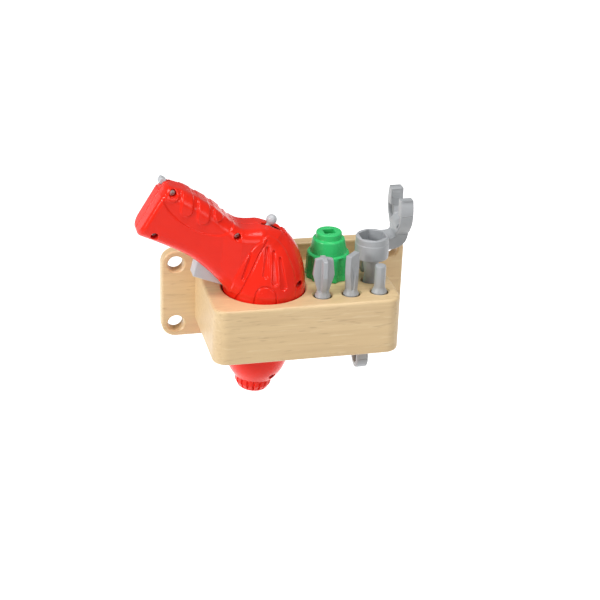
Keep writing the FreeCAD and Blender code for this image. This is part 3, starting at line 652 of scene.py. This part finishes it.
def fin(u, v, z, side, thick):
    """Upright blade with sharp edges; side is its half width at each height."""
    return round_both(turned(np.abs(u), z, above_block(side)), np.abs(v) - thick / 2, 0.5)


CROSS_SIDE = [(1.0, 5.0), (5.5, 5.4), (20.0, 9.5), (34.2, 7.9), (35.0, 6.8), (35.8, 2.5)]
BLADE_SIDE = [(1.0, 4.8), (6.0, 5.0), (20.0, 7.6), (31.0, 7.5), (37.3, 6.9)]
RIB_SIDE = [(1.0, 4.8), (6.0, 5.0), (18.0, 5.4), (27.0, 2.9)]


def bit_axes(x, y, centre, turn):
    """Coordinates along and across a bit's first blade."""
    dx, dy = x - centre, y - BIT_Y
    c, s = math.cos(turn), math.sin(turn)
    return dx * c + dy * s, dy * c - dx * s


def cross_field(x, y, z):
    """Cross-head bit with two equal blades."""
    u, v = bit_axes(x, y, BIT_X[0], math.radians(-3.0))
    blades = smooth_min(fin(u, v, z, CROSS_SIDE, 4.4), fin(v, u, z, CROSS_SIDE, 4.4), 0.7)
    return smooth_min(flared_shank(np.hypot(u, v), z, 5.2), blades, 0.6)


def flat_field(x, y, z):
    """Flat-blade bit with a low rib across it."""
    u, v = bit_axes(x, y, BIT_X[1], math.radians(44.0))
    blades = smooth_min(fin(u, v, z, BLADE_SIDE, 5.6), fin(v, u, z, RIB_SIDE, 5.6), 0.7)
    return smooth_min(flared_shank(np.hypot(u, v), z, 5.0), blades, 0.6)


def pin_field(x, y, z):
    """Short pin with a rounded top and eight faint flats."""
    dx, dy = x - BIT_X[2], y - BIT_Y
    r = np.hypot(dx, dy)
    pin = turned(r, z, above_block([(0.0, 5.0), (23.6, 5.0), (24.6, 4.6), (25.0, 3.6)]))
    for i in range(4):
        angle = math.radians(45.0 * i + 12.0)
        pin = smooth_max(pin, np.abs(dx * math.cos(angle) + dy * math.sin(angle)) - 4.8, 0.2)
    return smooth_min(flared_shank(r, z, 4.8), pin, 0.6)


SOCKET = (66.8, -62.5)
CUP_LOW = BLOCK_TOP + 22.8
CUP_HIGH = BLOCK_TOP + 43.3
HEX_HALF = 11.2
RECESS_DEPTH = 13.0


def socket_field(x, y, z):
    """Cup with a hexagonal recess on a flared stem."""
    dx, dy = x - SOCKET[0], y - SOCKET[1]
    stem = [(5.8, FOOT), (6.6, FOOT + 0.8), (6.6, BLOCK_TOP - 1.0), (5.5, BLOCK_TOP + 4.0),
            (5.8, BLOCK_TOP + 10.0), (7.6, CUP_LOW - 2.0), (8.2, CUP_LOW)]
    wall = [(14.2, CUP_LOW), (14.8, CUP_LOW + 0.3), (15.1, CUP_LOW + 1.2), (15.1, CUP_HIGH - 6.4),
            (14.7, CUP_HIGH - 6.0), (14.7, CUP_HIGH - 0.9), (14.3, CUP_HIGH - 0.3), (13.7, CUP_HIGH)]
    cup = turned(np.hypot(dx, dy), z, stem + wall)
    hexagon = np.float32(-1e9)
    for i in range(3):
        angle = math.radians(60.0 * i)
        hexagon = np.maximum(hexagon, np.abs(dx * math.cos(angle) + dy * math.sin(angle)) - HEX_HALF)
    recess = np.maximum(hexagon, CUP_HIGH - RECESS_DEPTH - z)
    return smooth_max(cup, -recess, 0.5)


ADAPTER = (31.2, -47.0)
SKIRT_R = 20.3
SKIRT_TOP = BLOCK_TOP + 24.0
TIER_TOP = BLOCK_TOP + 37.0
CROWN_TOP = BLOCK_TOP + 43.0
FLUTE_R = 7.0
FLUTE_AWAY = SKIRT_R + 4.9
SQUARE_HALF = 5.0
SQUARE_DEPTH = 16.0


def adapter_field(x, y, z):
    """Stepped adapter with a fluted skirt and a square hole."""
    dx, dy = x - ADAPTER[0], y - ADAPTER[1]
    r = np.hypot(dx, dy)
    seat = BLOCK_TOP + 0.2
    spigot = turned(r, z, [(5.8, FOOT), (6.6, FOOT + 0.8), (6.6, seat + 1.0)])
    skirt = turned(r, z, [(SKIRT_R - 0.6, seat), (SKIRT_R, seat + 0.8), (SKIRT_R - 1.1, SKIRT_TOP - 2.4),
                          (SKIRT_R - 1.6, SKIRT_TOP - 0.9), (SKIRT_R - 2.4, SKIRT_TOP)])
    for i in range(12):
        angle = math.radians(30.0 * i + 22.7)
        away = np.hypot(dx - FLUTE_AWAY * math.cos(angle), dy - FLUTE_AWAY * math.sin(angle))
        skirt = smooth_max(skirt, -np.maximum(away - FLUTE_R, z - BLOCK_TOP - 22.4), 0.7)
    tier = turned(r, z, [(17.2, SKIRT_TOP - 3.0), (16.6, SKIRT_TOP), (14.4, TIER_TOP - 1.2),
                         (14.0, TIER_TOP - 0.4), (13.2, TIER_TOP)])
    crown = turned(r, z, [(11.9, TIER_TOP - 2.0), (11.5, CROWN_TOP - 1.0), (11.1, CROWN_TOP - 0.3),
                          (10.4, CROWN_TOP)])
    form = smooth_min(smooth_min(smooth_min(skirt, tier, 0.8), crown, 0.6), spigot, 0.4)
    square = round_both(np.abs(dx) - SQUARE_HALF, np.abs(dy) - SQUARE_HALF, 0.4)
    return smooth_max(form, -np.maximum(square, CROWN_TOP - SQUARE_DEPTH - z), 0.6)


WRENCH_X = 69.25
WRENCH_HALF = 5.25
WRENCH_Y = -34.0
RING_Z = -65.0
RING_R = 12.0
RING_HOLE_R = 6.6
CRANK = curved([(WRENCH_X, 38.0), (69.5, 42.5), (72.2, 47.8), (78.5, 50.2), (86.0, 50.2), (93.2, 50.8),
                (98.6, 54.2), (100.3, 61.0), (100.25, 66.0)], False, 3)
CRANK_HALF_T = 6.0
CRANK_HALF_W = 10.0
CRANK_ENDS_X = (64.0, 106.0)
CRANK_LOW = 35.0
JAW_X = 100.25
JAW_HALF = 5.75
JAW_WEB_X = 97.5
JAW_RIM = 3.0
JAW_WEB_TOP = 79.0


def mirrored(half):
    """Closed outline from one half of it."""
    return half + [(-across, height) for across, height in reversed(half)]


def wrench_field(x, y, z):
    """Cranked wrench: ring end below, flat shank, open jaw above and to the right."""
    dy = y - WRENCH_Y
    flat = np.abs(x - WRENCH_X) - WRENCH_HALF
    seat = BLOCK_TOP + 0.2
    shank_side = mirrored([(8.2, RING_Z + 8.0), (10.8, BLOCK_TOP - 8.0), (11.6, seat), (12.9, seat),
                           (12.9, seat + 2.6), (10.3, seat + 8.0), (10.2, 41.0)])
    shank = round_both(outline(dy, z, shank_side), flat, 1.0)
    from_ring = np.hypot(dy, z - RING_Z)
    ring = round_both(from_ring - RING_R, flat, 1.3)
    crank = round_both(path(x, z, CRANK) - CRANK_HALF_T, np.abs(dy) - CRANK_HALF_W, 1.0)
    crank = np.maximum(np.maximum(crank, slab(x, *CRANK_ENDS_X)), CRANK_LOW - z)
    jaw_side = mirrored([(9.6, 60.5), (15.5, 65.6), (19.8, 72.5), (21.5, 81.0), (20.6, 89.0), (18.8, 94.4),
                         (18.0, 95.0)])
    jaw = outline(dy, z, curved(jaw_side, True, 3))
    mouth = outline(dy, z, mirrored([(4.0, 66.5), (11.5, 77.7), (11.5, 99.0)]))
    web = round_both(jaw + JAW_RIM, z - JAW_WEB_TOP, 1.0)
    jaw = round_both(smooth_max(jaw, -mouth, 0.8), np.abs(x - JAW_X) - JAW_HALF, 0.6)
    jaw = smooth_max(jaw, -np.maximum(web, x - JAW_WEB_X), 0.5)
    form = smooth_min(smooth_min(shank, ring, 3.0), smooth_min(crank, jaw, 2.0), 1.5)
    return smooth_max(form, RING_HOLE_R - from_ring, 1.2)


piece("cross_bit_moulded", cross_field, (6, -98, -1), (28, -75, 67), 0.38, GREY, "cross_bit",
      ["cross_bit"])
piece("flat_bit_moulded", flat_field, (32, -98, -1), (54, -75, 68), 0.38, GREY, "flat_bit",
      ["flat_bit"])
piece("pin_bit_moulded", pin_field, (61, -94, -1), (76, -79, 55), 0.4, GREY, "pin_bit",
      ["pin_bit"])
piece("hex_socket_moulded", socket_field, (50, -79, -1), (83, -46, 71), 0.45, GREY, "hex_socket",
      ["hex_socket"])
piece("adapter_moulded", adapter_field, (9, -69, -1), (53, -25, 70), 0.45, GREEN, "green_adapter",
      ["green_adapter"])
piece("wrench_moulded", wrench_field, (62, -57, -79), (108, -11, 97), 0.5, GREY, "wrench",
      ["wrench"])


# ------------------------------------------------------------------ floor, light and camera, in metres

FLOOR_HALF = 8.0
FLOOR_DROP = 0.35
GLOW_START_Y = -0.3
GLOW_FULL_Y = 0.1
CAMERA_YAW = math.radians(14.34)
CAMERA_PITCH = math.radians(26.0)
CAMERA_ROLL = math.radians(-2.07)
CAMERA_AWAY = 1.53546
CAMERA_RIGHT = 0.01516
CAMERA_DOWN = 0.00544
CAMERA_TARGET = Vector((0.0, -0.012, -0.008))

def floor_sheet():
    """Large pale floor well below the hanging holder, which glows behind it."""
    mesh = bpy.data.meshes.new("studio_floor")
    corners = [(x * FLOOR_HALF, y * FLOOR_HALF, 0) for x, y in ((-1, -1), (1, -1), (1, 1), (-1, 1))]
    mesh.from_pydata(corners, [], [(0, 1, 2, 3)])
    floor = bpy.data.objects.new("studio_floor", mesh)
    floor.location.z = CAD_BOX[0][2] - FLOOR_DROP
    bpy.context.scene.collection.objects.link(floor)
    n = Nodes("studio_floor")
    cloudy = n.ramp(n.noise(3.0), [(0.3, (0.90, 0.90, 0.90)), (0.7, (0.92, 0.92, 0.92))])
    n.link(cloudy, n.shader.inputs["Base Color"])
    n.shader.inputs["Roughness"].default_value = 0.9
    n.shader.inputs["Emission Color"].default_value = (1.0, 1.0, 1.0, 1.0)
    depth = n.add("ShaderNodeSeparateXYZ")
    n.link(n.place, depth.inputs[0])
    glow = n.remap(depth.outputs["Y"], GLOW_START_Y, GLOW_FULL_Y, 0.05, 0.85)
    n.link(glow, n.shader.inputs["Emission Strength"])
    mesh.materials.append(n.material)


def soft_light(name, place, target, size, power):
    """Square softbox aimed at a point."""
    data = bpy.data.lights.new(name, "AREA")
    data.size = size
    data.energy = power
    light = bpy.data.objects.new(name, data)
    light.location = place
    light.rotation_euler = (Vector(target) - Vector(place)).to_track_quat("-Z", "Y").to_euler()
    bpy.context.scene.collection.objects.link(light)


def studio_camera():
    """Camera in front of the holder, above it and to its left, rolled by two degrees."""
    yaw, pitch = CAMERA_YAW, CAMERA_PITCH
    side = Vector((math.cos(yaw), -math.sin(yaw), 0.0))
    above = Vector((math.sin(yaw) * math.sin(pitch), math.cos(yaw) * math.sin(pitch), math.cos(pitch)))
    ahead = Vector((math.sin(yaw) * math.cos(pitch), math.cos(yaw) * math.cos(pitch), -math.sin(pitch)))
    right = side * math.cos(CAMERA_ROLL) - above * math.sin(CAMERA_ROLL)
    up = side * math.sin(CAMERA_ROLL) + above * math.cos(CAMERA_ROLL)
    place = CAMERA_TARGET + right * CAMERA_RIGHT - up * CAMERA_DOWN - ahead * CAMERA_AWAY
    data = bpy.data.cameras.new("studio_camera")
    data.sensor_width = 36.0
    data.lens = 100.12
    camera = bpy.data.objects.new("studio_camera", data)
    turn = Matrix((right, up, -ahead)).transposed()
    camera.matrix_world = Matrix.Translation(place) @ turn.to_4x4()
    bpy.context.scene.collection.objects.link(camera)
    bpy.context.scene.camera = camera


def pale_world():
    """Even white surroundings."""
    world = bpy.data.worlds.new("studio")
    world.use_nodes = True
    background = world.node_tree.nodes["Background"]
    background.inputs["Color"].default_value = (1.0, 1.0, 1.0, 1.0)
    background.inputs["Strength"].default_value = 0.26
    bpy.context.scene.world = world


floor_sheet()
HOLDER = (0.0, -0.05, 0.02)
soft_light("key_left", (-1.6, -0.75, 0.9), HOLDER, 0.6, 21.0)
soft_light("overhead", (0.1, -0.35, 1.7), HOLDER, 0.9, 17.5)
soft_light("fill_front", (0.6, -1.8, 0.5), HOLDER, 0.7, 5.0)
pale_world()
bpy.context.scene.view_settings.view_transform = "Standard"
studio_camera()
